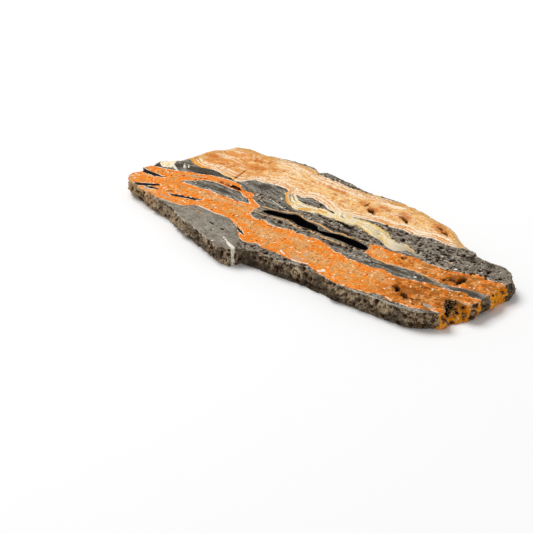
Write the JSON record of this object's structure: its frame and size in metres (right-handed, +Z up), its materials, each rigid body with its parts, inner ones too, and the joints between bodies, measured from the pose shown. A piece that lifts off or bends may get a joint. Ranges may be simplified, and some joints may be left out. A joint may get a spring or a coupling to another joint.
{
  "type": "bumblebee jasper slab",
  "caption": "Natural slab of banded orange, cream and grey jasper, sawn flat on both faces, with a broken natural rim and an open cleft along the banding.",
  "frame": {"origin": "middle of the footprint on the underside", "axes": "+X along the banding and the longest side, +Y towards the cream back edge, +Z up out of the sawn top face"},
  "size_m": [0.1859, 0.0931, 0.008],
  "materials": {
    "banded_stone": "sawn stone, satin on the faces and dull on the broken rim, banded orange, cream and grey"
  },
  "bodies": {
    "root": {"slab": "banded_stone"}
  },
  "joints": []
}
